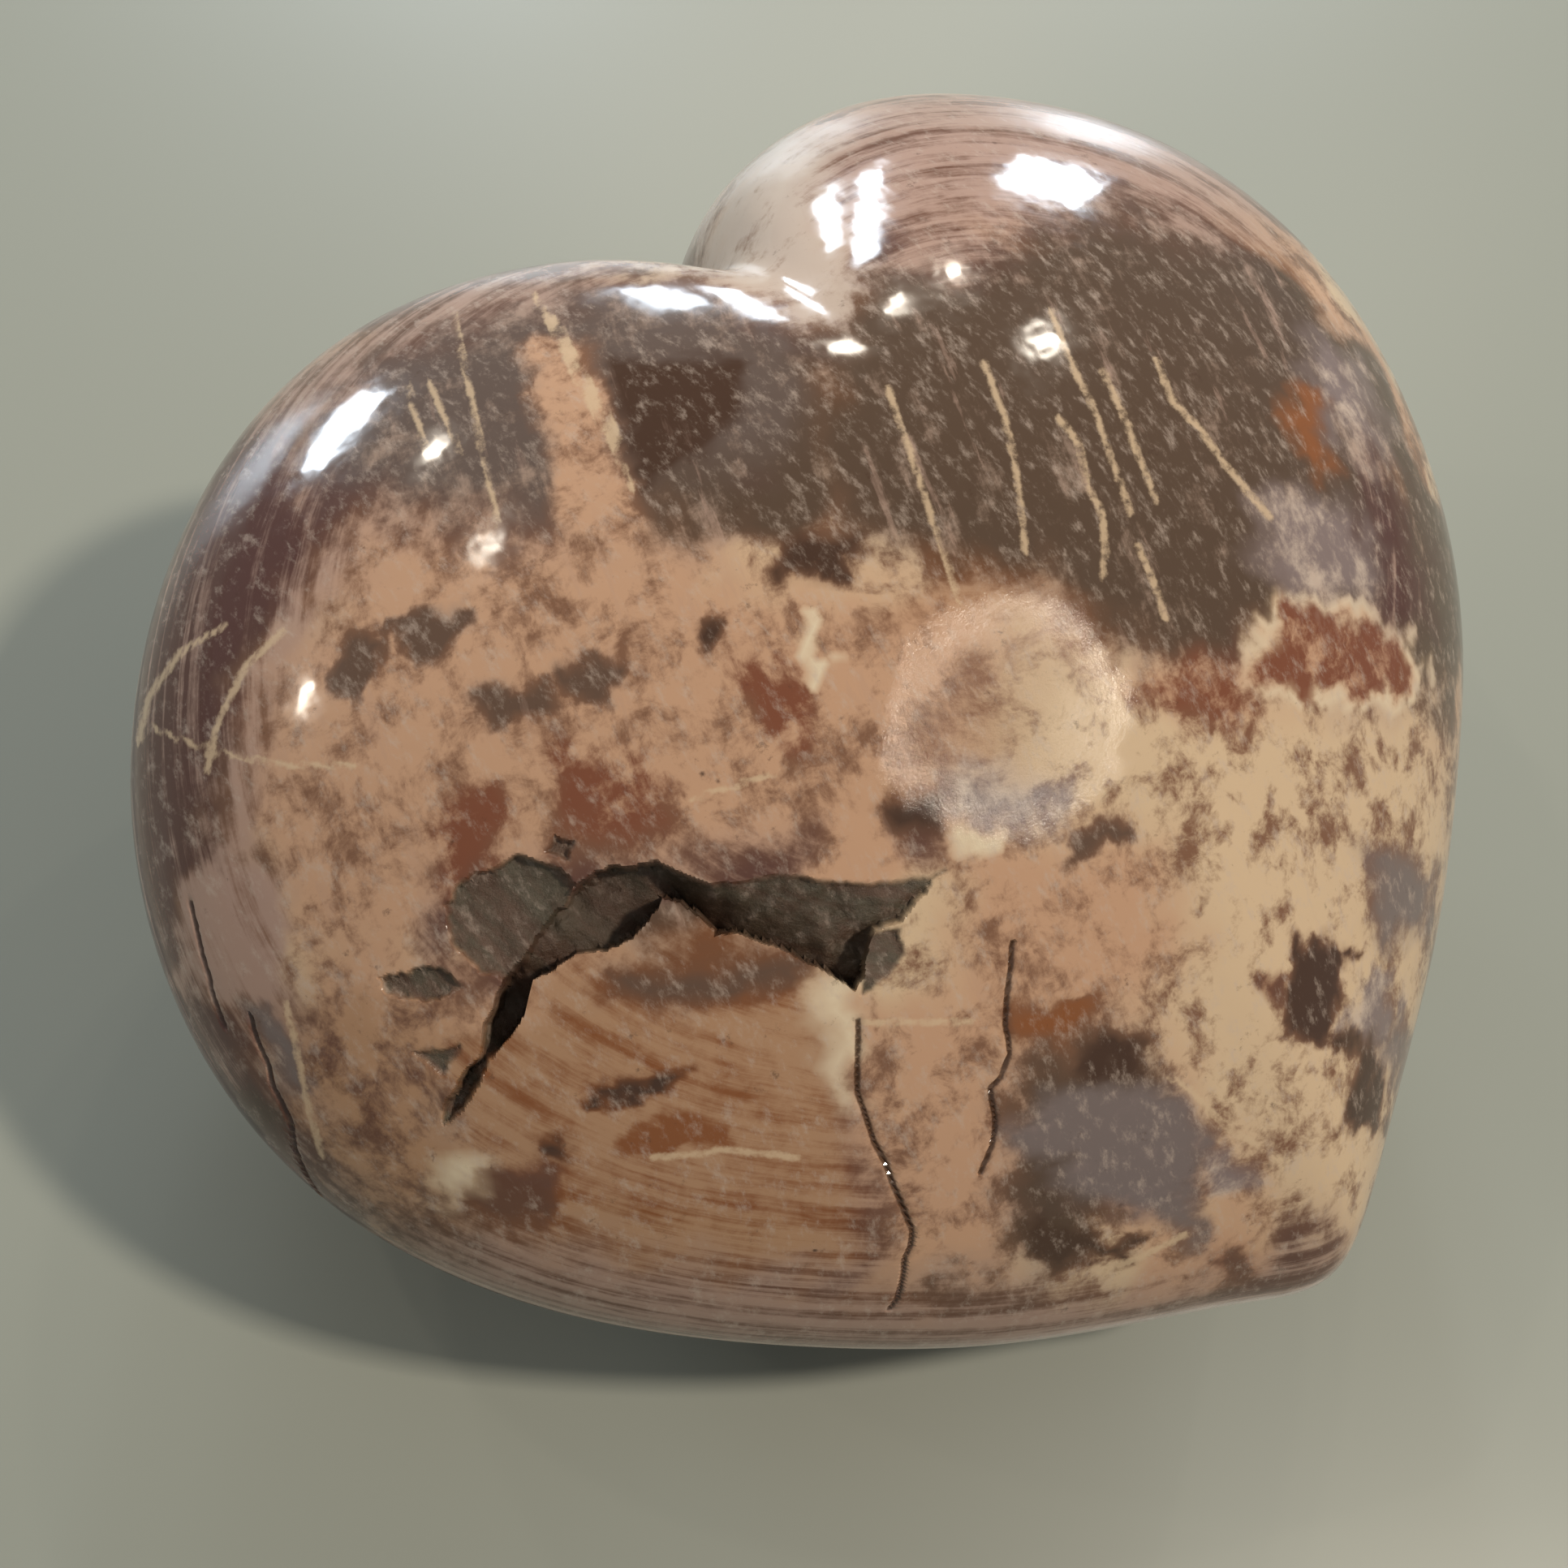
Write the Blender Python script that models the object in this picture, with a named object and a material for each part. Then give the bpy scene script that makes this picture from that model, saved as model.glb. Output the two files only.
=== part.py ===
"""Polished puffy heart carved from moonstone, with an open natural cavity in its upper face.

Metres, +Z up. The heart lies on its back on a small polished flat, its point towards -Y.
The origin is the middle of its footprint box, on the surface that it rests on.
"""

import math

import bmesh
import bpy
import numpy as np
from mathutils import Euler, Vector, noise
from mathutils.bvhtree import BVHTree

MM = 0.001

# Outline of the heart where it is widest: bearing in degrees from the point, and the radius
# there on the right (+X) and on the left (-X) side, in millimetres.
OUTLINE = (
    (0, 47.0, 47.0),
    (5, 45.7, 45.8),
    (12, 43.2, 44.1),
    (26, 40.4, 42.7),
    (42, 39.1, 42.6),
    (60, 40.0, 44.6),
    (78, 41.6, 46.8),
    (96, 43.5, 46.6),
    (114, 43.4, 44.5),
    (132, 40.8, 41.7),
    (148, 37.5, 38.4),
    (162, 32.4, 33.5),
    (172, 27.0, 27.6),
    (180, 22.5, 22.5),
)
ROUND_WAVES = 2

# Domes above and below the widest line. A fullness of 2 is an ellipse, and less is leaner.
UPPER_HEIGHT = 23.5 * MM
LOWER_HEIGHT = 22.7 * MM
UPPER_FULLNESS = 1.92
LOWER_FULLNESS = 1.83
CLEFT_FADE = 2.0
POINT_THINNING = 0.12

# How the heart lies, and how much of its back is ground away.
LEAN = Euler((math.radians(9.0), math.radians(-2.3), 0.0))
FLAT_DEPTH = 0.8 * MM

# Fineness of the skin.
SKIN_SEGMENTS = 84
SKIN_RINGS = 38

# The cavity and the chips beside it are laid out on a plane that touches the skin here.
CAVITY_BEARING = 294
CAVITY_LATITUDE = 53
CUTTER_LIFT = 1.5 * MM
RAY_START = 20 * MM

# Stations along the cavity, in millimetres on that plane: place along it, its upper rim, its
# lower rim, the depth under the upper rim and the depth under the lower rim.
CAVITY_STATIONS = (
    (-16.4, -2.1, -2.4, 0.3, 0.3),
    (-15.5, -1.1, -2.2, 1.3, 0.9),
    (-14.0, -0.4, -1.6, 1.8, 1.4),
    (-12.6, 0.2, -0.4, 1.0, 0.8),
    (-11.8, 1.4, -0.1, 2.2, 2.2),
    (-10.9, 1.9, 0.1, 3.0, 3.0),
    (-9.8, 2.9, 0.8, 2.8, 3.4),
    (-8.5, 3.5, 2.0, 1.5, 2.6),
    (-7.3, 4.0, 1.9, 1.3, 2.4),
    (-6.0, 4.5, 2.2, 1.4, 2.2),
    (-4.6, 4.8, 1.5, 2.2, 2.2),
    (-3.2, 5.3, 1.3, 1.8, 2.6),
    (-2.1, 5.0, 1.7, 1.5, 2.6),
    (-0.9, 4.4, 2.4, 1.2, 2.2),
    (-0.2, 4.1, 1.6, 1.0, 3.4),
    (0.7, 2.9, -0.6, 0.8, 3.8),
    (1.6, 1.9, -1.2, 0.5, 3.2),
    (3.2, 1.2, -3.2, 0.4, 3.0),
    (4.4, 0.7, -5.1, 0.4, 3.0),
    (5.2, 0.2, -6.7, 0.4, 2.8),
    (6.7, -0.8, -5.4, 0.4, 2.4),
    (7.6, -1.6, -4.4, 0.3, 1.4),
    (9.0, -2.4, -4.9, 0.3, 0.9),
    (10.3, -3.1, -4.4, 0.3, 0.7),
    (11.4, -3.5, -4.1, 0.3, 0.5),
    (12.3, -3.6, -3.9, 0.2, 0.2),
)
WALL_RUN = 0.35 * MM
FLOOR_ROUGHNESS = 0.35 * MM
FLOOR_GRAIN = 2.2 * MM

# Shallow ledges and chips beside the cavity: outline in millimetres on the same plane, then the
# depth at the outline and the depth in the middle.
CHIPS = {
    "shelf": (
        ((-10.6, 7.6), (-9.3, 8.2), (-7.1, 7.9), (-6.0, 8.0), (-4.6, 6.2), (-4.2, 5.0),
         (-5.6, 4.0), (-8.1, 3.0), (-9.7, 2.4), (-10.8, 3.6), (-11.2, 5.6)),
        0.5 * MM,
        0.9 * MM,
    ),
    "pit_ledge": (
        ((-15.5, 6.1), (-13.9, 5.6), (-13.0, 5.5), (-11.9, 4.4), (-11.7, 3.3), (-13.2, 3.4),
         (-14.5, 4.0), (-15.5, 4.9)),
        0.35 * MM,
        0.7 * MM,
    ),
    "step": (
        ((-15.9, 1.9), (-13.2, 1.0), (-13.9, 0.3), (-15.0, 0.0)),
        0.3 * MM,
        0.4 * MM,
    ),
    "small_pit": (
        ((-4.9, 7.3), (-4.0, 7.7), (-3.3, 7.0), (-4.0, 6.2)),
        0.4 * MM,
        0.7 * MM,
    ),
    "flake": (
        ((6.9, -4.2), (8.9, -5.0), (8.3, -6.4), (6.9, -7.0), (5.2, -7.1)),
        0.25 * MM,
        0.4 * MM,
    ),
}
CHIP_INSET = 0.82

# Open cracks, as bearings and latitudes in degrees on the stone.
CRACKS = {
    "left_upper_crack": ((262, 17), (267, 15), (270, 13)),
    "left_crack": ((271, 18), (274, 16), (278, 12), (280, 6), (282, 0), (283, -5)),
    "centre_crack": ((313, 50), (315, 44), (319, 37), (323, 29), (323, 23), (323, 16)),
    "right_crack": ((330, 56), (329, 50), (330, 47), (328, 44), (329, 40), (328, 36)),
}
CRACK_WIDTH = 0.5 * MM
CRACK_DEPTH = 0.5 * MM
CRACK_LIFT = 0.4 * MM

STONE_COLOUR = (0.42, 0.24, 0.14, 1.0)
STONE_ROUGHNESS = 0.12


def clear_scene():
    for obj in list(bpy.data.objects):
        bpy.data.objects.remove(obj, do_unlink=True)


def stone_material():
    material = bpy.data.materials.new("moonstone")
    material.use_nodes = True
    shader = material.node_tree.nodes["Principled BSDF"]
    shader.inputs["Base Color"].default_value = STONE_COLOUR
    shader.inputs["Roughness"].default_value = STONE_ROUGHNESS
    shader.inputs["Metallic"].default_value = 0.0
    return material


class Outline:
    """Smooth closed curve of radius against bearing, through the OUTLINE radii."""

    def __init__(self):
        bearings = [row[0] for row in OUTLINE]
        right = [row[1] for row in OUTLINE]
        left = [row[2] for row in OUTLINE]
        self.angles = np.array(bearings + [360 - b for b in bearings[-2:0:-1]], float)
        self.radii = np.array(right + left[-2:0:-1]) * MM
        self.spans = np.diff(np.append(self.angles, 360.0))
        self.bends = self.solve_bends()
        self.waves = self.slow_waves()

    def solve_bends(self):
        """Second derivatives that make the pieces meet smoothly all the way round."""
        count = len(self.angles)
        before = np.roll(self.spans, 1)
        slopes = (np.roll(self.radii, -1) - self.radii) / self.spans
        system = np.diag(2 * (before + self.spans))
        for i in range(count):
            system[i, i - 1] += before[i]
            system[i, (i + 1) % count] += self.spans[i]
        return np.linalg.solve(system, 6 * (slopes - np.roll(slopes, 1)))

    def radius(self, bearing):
        bearing = bearing % 360
        i = int(np.searchsorted(self.angles, bearing, "right")) - 1
        j = (i + 1) % len(self.angles)
        span = self.spans[i]
        past = bearing - self.angles[i]
        left = span - past
        curve = (self.bends[i] * left**3 + self.bends[j] * past**3) / (6 * span)
        start = (self.radii[i] / span - self.bends[i] * span / 6) * left
        end = (self.radii[j] / span - self.bends[j] * span / 6) * past
        return curve + start + end

    def slow_waves(self):
        radii = np.array([self.radius(bearing) for bearing in range(360)])
        return np.fft.rfft(radii)[: ROUND_WAVES + 1] / 180

    def round_radius(self, bearing):
        """The same outline without its point and its cleft, as the dome's top has it."""
        turn = math.radians(bearing)
        total = self.waves[0].real / 2
        for k in range(1, ROUND_WAVES + 1):
            total += self.waves[k].real * math.cos(k * turn)
            total -= self.waves[k].imag * math.sin(k * turn)
        return total


class Form:
    """The polished heart: a point of its skin for each bearing and latitude."""

    def __init__(self):
        self.outline = Outline()
        self.shift = Vector()
        points = [self.skin(b, lat) for b in range(0, 360, 2) for lat in range(-90, 91, 2)]
        low = [min(p[k] for p in points) for k in range(3)]
        high = [max(p[k] for p in points) for k in range(3)]
        self.shift = -Vector(((low[0] + high[0]) / 2, (low[1] + high[1]) / 2, low[2] + FLAT_DEPTH))

    def skin(self, bearing, latitude):
        upper = latitude >= 0
        fullness = UPPER_FULLNESS if upper else LOWER_FULLNESS
        height = UPPER_HEIGHT if upper else -LOWER_HEIGHT
        turn = math.radians(bearing)
        spread = max(math.cos(math.radians(latitude)), 0.0) ** (2 / fullness)
        rise = abs(math.sin(math.radians(latitude))) ** (2 / fullness)
        thinning = 1 - POINT_THINNING * spread**2 * math.cos(turn)
        sharp = spread**CLEFT_FADE
        round_radius = self.outline.round_radius(bearing)
        radius = spread * ((1 - sharp) * round_radius + sharp * self.outline.radius(bearing))
        x = radius * math.sin(turn)
        y = -radius * math.cos(turn)
        point = Vector((x, y, height * rise * thinning))
        point.rotate(LEAN)
        return point + self.shift

    def normal(self, bearing, latitude):
        step = 0.5
        across = self.skin(bearing + step, latitude) - self.skin(bearing - step, latitude)
        up = self.skin(bearing, latitude + step) - self.skin(bearing, latitude - step)
        return across.cross(up).normalized()


def link_mesh(name, bm, material):
    bmesh.ops.recalc_face_normals(bm, faces=bm.faces)
    mesh = bpy.data.meshes.new(name)
    bm.to_mesh(mesh)
    bm.free()
    mesh.materials.append(material)
    obj = bpy.data.objects.new(name, mesh)
    bpy.context.scene.collection.objects.link(obj)
    return obj


def make_heart(form, material):
    """The polished heart before anything is broken out of it, ground flat underneath."""
    bm = bmesh.new()
    bmesh.ops.create_uvsphere(bm, u_segments=SKIN_SEGMENTS, v_segments=SKIN_RINGS, radius=1)
    for vert in bm.verts:
        bearing = math.degrees(math.atan2(vert.co.x, -vert.co.y))
        latitude = math.degrees(math.asin(max(-1.0, min(1.0, vert.co.z))))
        vert.co = form.skin(bearing, latitude)
    cut = bmesh.ops.bisect_plane(
        bm,
        geom=bm.verts[:] + bm.edges[:] + bm.faces[:],
        plane_co=(0, 0, 0),
        plane_no=(0, 0, -1),
        clear_outer=True,
    )
    rim = [item for item in cut["geom_cut"] if isinstance(item, bmesh.types.BMEdge)]
    bmesh.ops.edgeloop_fill(bm, edges=rim)
    return link_mesh("moonstone_heart", bm, material)


class CavityPlane:
    """Turns millimetres on the cavity's plane into points on or under the polished skin."""

    def __init__(self, form, heart):
        self.origin = form.skin(CAVITY_BEARING, CAVITY_LATITUDE)
        self.normal = form.normal(CAVITY_BEARING, CAVITY_LATITUDE)
        along = Vector((1, 0, 0))
        self.along = (along - self.normal * along.dot(self.normal)).normalized()
        self.across = self.normal.cross(self.along)
        bm = bmesh.new()
        bm.from_mesh(heart.data)
        self.skin = BVHTree.FromBMesh(bm)
        bm.free()

    def point(self, along, across, depth):
        flat = self.origin + self.along * along * MM + self.across * across * MM
        hit = self.skin.ray_cast(flat + self.normal * RAY_START, -self.normal)[0]
        return hit - self.normal * depth


def bridge_sections(bm, sections):
    """Closes a body through sections that have the same number of corners each."""
    rows = [[bm.verts.new(corner) for corner in section] for section in sections]
    corners = len(rows[0])
    for row, after in zip(rows, rows[1:]):
        for k in range(corners):
            m = (k + 1) % corners
            bm.faces.new((row[k], row[m], after[m], after[k]))
    bm.faces.new(rows[0])
    bm.faces.new(rows[-1])


def rough_depth(depth, along, across):
    """A floor depth with the broken stone's unevenness."""
    place = Vector((along, across, depth / MM)) * (MM / FLOOR_GRAIN)
    return max(depth + FLOOR_ROUGHNESS * noise.noise(place), 0.2 * MM)


def cavity_section(plane, along, upper, lower, upper_depth, lower_depth):
    run = min(WALL_RUN / MM, (upper - lower) * 0.3)
    middle = (upper + lower) / 2
    middle_depth = (upper_depth + lower_depth) / 2 * MM
    return (
        plane.point(along, upper, -CUTTER_LIFT),
        plane.point(along, upper - run, rough_depth(upper_depth * MM, along, upper)),
        plane.point(along, middle, rough_depth(middle_depth, along, middle)),
        plane.point(along, lower + run / 2, rough_depth(lower_depth * MM, along, lower)),
        plane.point(along, lower, -CUTTER_LIFT),
    )


def cavity_cutter(plane, material):
    bm = bmesh.new()
    bridge_sections(bm, [cavity_section(plane, *station) for station in CAVITY_STATIONS])
    return link_mesh("cavity_cutter", bm, material)


def chip_cutter(plane, name, outline, edge_depth, middle_depth, material):
    """A shallow plug with a sunk middle, standing proud of the skin."""
    bm = bmesh.new()
    count = len(outline)
    centre = (sum(p[0] for p in outline) / count, sum(p[1] for p in outline) / count)
    inner = [[centre[k] + (p[k] - centre[k]) * CHIP_INSET for k in range(2)] for p in outline]
    top = [bm.verts.new(plane.point(*p, -CUTTER_LIFT)) for p in outline]
    floor = [bm.verts.new(plane.point(*p, edge_depth)) for p in inner]
    pit = bm.verts.new(plane.point(*centre, middle_depth))
    crown = bm.verts.new(plane.point(*centre, -CUTTER_LIFT))
    for k in range(count):
        m = (k + 1) % count
        bm.faces.new((top[k], top[m], floor[m], floor[k]))
        bm.faces.new((floor[k], floor[m], pit))
        bm.faces.new((top[m], top[k], crown))
    return link_mesh(f"{name}_cutter", bm, material)


def crack_cutter(form, name, route, material):
    """A wedge along the route, its edge down in the stone."""
    points = [form.skin(*place) for place in route]
    normals = [form.normal(*place) for place in route]
    sections = []
    for i, (point, normal) in enumerate(zip(points, normals)):
        ahead = points[min(i + 1, len(points) - 1)] - points[max(i - 1, 0)]
        side = normal.cross(ahead).normalized()
        end = i in (0, len(points) - 1)
        depth = CRACK_DEPTH * (0.3 if end else 1.0)
        half_width = CRACK_WIDTH / 2 * (1 + CRACK_LIFT / CRACK_DEPTH) * (0.4 if end else 1.0)
        lifted = point + normal * CRACK_LIFT
        sections.append((lifted + side * half_width, lifted - side * half_width, point - normal * depth))
    bm = bmesh.new()
    bridge_sections(bm, sections)
    return link_mesh(f"{name}_cutter", bm, material)


def cut_away(heart, cutter):
    cutter.hide_render = True
    cutter.display_type = "WIRE"
    cut = heart.modifiers.new(cutter.name, "BOOLEAN")
    cut.operation = "DIFFERENCE"
    cut.solver = "EXACT"
    cut.object = cutter


def main():
    clear_scene()
    material = stone_material()
    form = Form()
    heart = make_heart(form, material)
    plane = CavityPlane(form, heart)
    cutters = [
        chip_cutter(plane, name, outline, edge, middle, material)
        for name, (outline, edge, middle) in CHIPS.items()
    ]
    cutters.append(cavity_cutter(plane, material))
    cutters += [crack_cutter(form, name, route, material) for name, route in CRACKS.items()]
    for cutter in cutters:
        cut_away(heart, cutter)
    heart.data.shade_smooth()
    heart.data.set_sharp_from_angle(angle=math.radians(30))


main()
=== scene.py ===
"""Looks of the polished moonstone heart: its carved skin, its markings, its polish and a studio.

Metres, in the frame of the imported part: +Z up out of the heart's upper face, its point towards -Y.
"""

import math

import bmesh
import bpy
import numpy as np
from bpy.props import FloatProperty, FloatVectorProperty, IntProperty, PointerProperty
from mathutils import Euler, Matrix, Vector, noise


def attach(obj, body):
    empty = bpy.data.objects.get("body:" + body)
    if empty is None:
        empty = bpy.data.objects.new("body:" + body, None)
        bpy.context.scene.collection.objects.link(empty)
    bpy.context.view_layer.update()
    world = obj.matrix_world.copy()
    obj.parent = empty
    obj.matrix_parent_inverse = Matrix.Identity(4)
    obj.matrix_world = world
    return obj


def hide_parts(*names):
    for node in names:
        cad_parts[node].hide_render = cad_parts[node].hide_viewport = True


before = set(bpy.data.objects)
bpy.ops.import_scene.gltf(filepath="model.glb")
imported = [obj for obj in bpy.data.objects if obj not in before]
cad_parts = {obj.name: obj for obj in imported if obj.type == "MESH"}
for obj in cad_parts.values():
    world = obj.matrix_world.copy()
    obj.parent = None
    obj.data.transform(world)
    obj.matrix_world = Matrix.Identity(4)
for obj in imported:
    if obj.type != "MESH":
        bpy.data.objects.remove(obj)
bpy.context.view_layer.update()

bl_info = {
    "name": "Moonstone Heart",
    "version": (1, 0, 0),
    "blender": (4, 5, 0),
    "location": "3D View > Sidebar > Stone",
    "description": "Builds a polished moonstone heart with an open natural cavity",
    "category": "Object",
}

MM = 0.001
NODE = "moonstone_heart"

# Outline of the heart where it is widest: bearing in degrees from the point, and the radius
# there on the right (+X) and on the left (-X) side, in millimetres.
OUTLINE = (
    (0, 47.0, 47.0),
    (5, 45.7, 45.8),
    (12, 43.2, 44.1),
    (26, 40.4, 42.7),
    (42, 39.1, 42.6),
    (60, 40.0, 44.6),
    (78, 41.6, 46.8),
    (96, 43.5, 46.6),
    (114, 43.4, 44.5),
    (132, 40.8, 41.7),
    (148, 37.5, 38.4),
    (162, 32.4, 33.5),
    (172, 27.0, 27.6),
    (180, 22.5, 22.5),
)
ROUND_WAVES = 2
LEAN = Euler((math.radians(9.0), math.radians(-2.3), 0.0))

# The side of the stone that its skin's points crowd towards, and what share of the even spacing
# is left there.
FINE_BEARING = 305
FINE_LATITUDE = 55

# The cavity and the chips beside it are laid out on a plane that touches the skin here.
CAVITY_BEARING = 294
CAVITY_LATITUDE = 53

# Stations along the cavity, in millimetres on that plane: place along it, its upper rim, its
# lower rim, the depth under the upper rim and the depth under the lower rim.
CAVITY_STATIONS = (
    (-16.4, -2.1, -2.4, 0.3, 0.3),
    (-15.5, -1.1, -2.2, 1.3, 0.9),
    (-14.0, -0.4, -1.6, 1.8, 1.4),
    (-12.6, 0.2, -0.4, 1.0, 0.8),
    (-11.8, 1.4, -0.1, 2.2, 2.2),
    (-10.9, 1.9, 0.1, 3.0, 3.0),
    (-9.8, 2.9, 0.8, 2.8, 3.4),
    (-8.5, 3.5, 2.0, 1.5, 2.6),
    (-7.3, 4.0, 1.9, 1.3, 2.4),
    (-6.0, 4.5, 2.2, 1.4, 2.2),
    (-4.6, 4.8, 1.5, 2.2, 2.2),
    (-3.2, 5.3, 1.3, 1.8, 2.6),
    (-2.1, 5.0, 1.7, 1.5, 2.6),
    (-0.9, 4.4, 2.4, 1.2, 2.2),
    (-0.2, 4.1, 1.6, 1.0, 3.4),
    (0.7, 2.9, -0.6, 0.8, 3.8),
    (1.6, 1.9, -1.2, 0.5, 3.2),
    (3.2, 1.2, -3.2, 0.4, 3.0),
    (4.4, 0.7, -5.1, 0.4, 3.0),
    (5.2, 0.2, -6.7, 0.4, 2.8),
    (6.7, -0.8, -5.4, 0.4, 2.4),
    (7.6, -1.6, -4.4, 0.3, 1.4),
    (9.0, -2.4, -4.9, 0.3, 0.9),
    (10.3, -3.1, -4.4, 0.3, 0.7),
    (11.4, -3.5, -4.1, 0.3, 0.5),
    (12.3, -3.6, -3.9, 0.2, 0.2),
)
UPPER_WALL_RUN = 0.34
LOWER_WALL_RUN = 0.24
RIM_RAGGEDNESS = 0.22
UNDERCUT = 0.5
UNDERCUT_REACH = 0.8
CLEAVAGE_STEP = 0.22
CLEAVAGE_SPACING = 0.75
FLOOR_ROUGHNESS = 0.18

# Shallow ledges and chips beside the cavity: outline in millimetres on the same plane, then the
# depth at the outline and the depth in the middle, in millimetres.
CHIPS = {
    "shelf": (
        ((-10.6, 7.6), (-9.3, 8.2), (-7.1, 7.9), (-6.0, 8.0), (-4.6, 6.2), (-4.2, 5.0),
         (-5.6, 4.0), (-8.1, 3.0), (-9.7, 2.4), (-10.8, 3.6), (-11.2, 5.6)),
        0.5,
        0.9,
    ),
    "pit_ledge": (
        ((-15.5, 6.1), (-13.9, 5.6), (-13.0, 5.5), (-11.9, 4.4), (-11.7, 3.3), (-13.2, 3.4),
         (-14.5, 4.0), (-15.5, 4.9)),
        0.35,
        0.7,
    ),
    "step": (
        ((-15.9, 1.9), (-13.2, 1.0), (-13.9, 0.3), (-15.0, 0.0)),
        0.3,
        0.4,
    ),
    "small_pit": (
        ((-4.9, 7.3), (-4.0, 7.7), (-3.3, 7.0), (-4.0, 6.2)),
        0.4,
        0.7,
    ),
    "flake": (
        ((6.9, -4.2), (8.9, -5.0), (8.3, -6.4), (6.9, -7.0), (5.2, -7.1)),
        0.25,
        0.4,
    ),
}
CHIP_EDGE_RUN = 0.26
RIM_BAND = 0.4
CHIP_SINK_RUN = 1.2

# Open cracks, as bearings and latitudes in degrees on the stone.
CRACKS = {
    "left_upper_crack": ((262, 17), (267, 15), (270, 13)),
    "left_crack": ((271, 18), (274, 16), (278, 12), (280, 6), (282, 0), (283, -5)),
    "centre_crack": ((313, 50), (315, 44), (319, 37), (323, 29), (323, 23), (323, 16)),
    "right_crack": ((330, 56), (329, 50), (330, 47), (328, 44), (329, 40), (328, 36)),
}
CRACK_DEPTH = 0.3
CRACK_HALF_WIDTH = 0.22
CRACK_RAGGEDNESS = 0.45

# The camera that the heart is seen from, and the side of the picture that pixels are counted in.
CAMERA_PLACE = Vector((-0.06061, -0.03482, 0.13460))
CAMERA_TURN = Euler((math.radians(28.337), math.radians(-9.488), math.radians(-37.625)))
CAMERA_LENS = 49.185
CAMERA_SENSOR = 36.0
PICTURE_SIDE = 1932

# Palette of the stone: what each colour is, and its red, green and blue in linear light.
PALETTE = {
    "mist": ("Whitish haze", (0.56, 0.44, 0.36)),
    "ivory": ("Pale cream", (0.76, 0.62, 0.44)),
    "cream": ("Cream", (0.66, 0.48, 0.31)),
    "peach": ("Peach", (0.56, 0.33, 0.205)),
    "tan": ("Tan", (0.44, 0.25, 0.14)),
    "blush": ("Greyish pink", (0.42, 0.27, 0.21)),
    "ash": ("Brownish grey", (0.36, 0.25, 0.19)),
    "lilac": ("Lavender grey", (0.23, 0.17, 0.16)),
    "slate": ("Dark lavender grey", (0.19, 0.145, 0.135)),
    "smoke": ("Smoky brown", (0.125, 0.085, 0.068)),
    "hazel": ("Light brown", (0.22, 0.105, 0.058)),
    "chestnut": ("Chestnut", (0.145, 0.062, 0.036)),
    "plum": ("Maroon brown", (0.095, 0.038, 0.030)),
    "umber": ("Dark brown", (0.065, 0.030, 0.016)),
    "bark": ("Clear dark brown", (0.125, 0.070, 0.045)),
    "moss": ("Olive brown", (0.095, 0.056, 0.034)),
    "olive": ("Cavity olive", (0.100, 0.080, 0.052)),
    "amber": ("Orange brown", (0.250, 0.085, 0.025)),
    "rust": ("Rusty brown", (0.210, 0.068, 0.032)),
}

# Kinds of stone: the milky colour, the clear colour under it, how much the milk covers, and how
# strongly the milk follows the straight lamellae and the polished outline.
TONES = {
    "tan": ("tan", "chestnut", 0.58, 0.2, 0.2),
    "peach": ("peach", "hazel", 0.60, 0.4, 0.0),
    "rose": ("peach", "hazel", 0.64, 0.2, 0.0),
    "cream": ("cream", "hazel", 0.64, 0.1, 0.0),
    "bright": ("ivory", "cream", 0.90, 0.1, 0.0),
    "smoke": ("ash", "smoke", 0.36, 0.6, 0.0),
    "moss": ("ash", "moss", 0.32, 0.7, 0.0),
    "umber": ("hazel", "umber", 0.16, 0.3, 0.0),
    "window": ("ash", "bark", 0.20, 0.5, 0.0),
    "arcs": ("blush", "chestnut", 0.60, 0.0, 1.0),
    "mist": ("mist", "hazel", 0.72, 0.2, 0.4),
    "plum": ("blush", "plum", 0.36, 0.0, 1.0),
    "ribbon": ("blush", "hazel", 0.70, 0.0, 1.0),
    "streaks": ("tan", "amber", 0.60, 0.0, 0.9),
    "amber": ("tan", "amber", 0.20, 0.0, 0.7),
    "rust": ("peach", "rust", 0.40, 0.4, 0.0),
    "slate": ("lilac", "slate", 0.30, 0.0, 0.5),
    "lilac": ("mist", "lilac", 0.46, 0.3, 0.2),
    "cavity": ("olive", "bark", 0.55, 0.0, 0.8),
    "ember": ("rust", "chestnut", 0.25, 0.0, 0.0),
    "pit": ("umber", "umber", 0.10, 0.0, 0.0),
}

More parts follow.
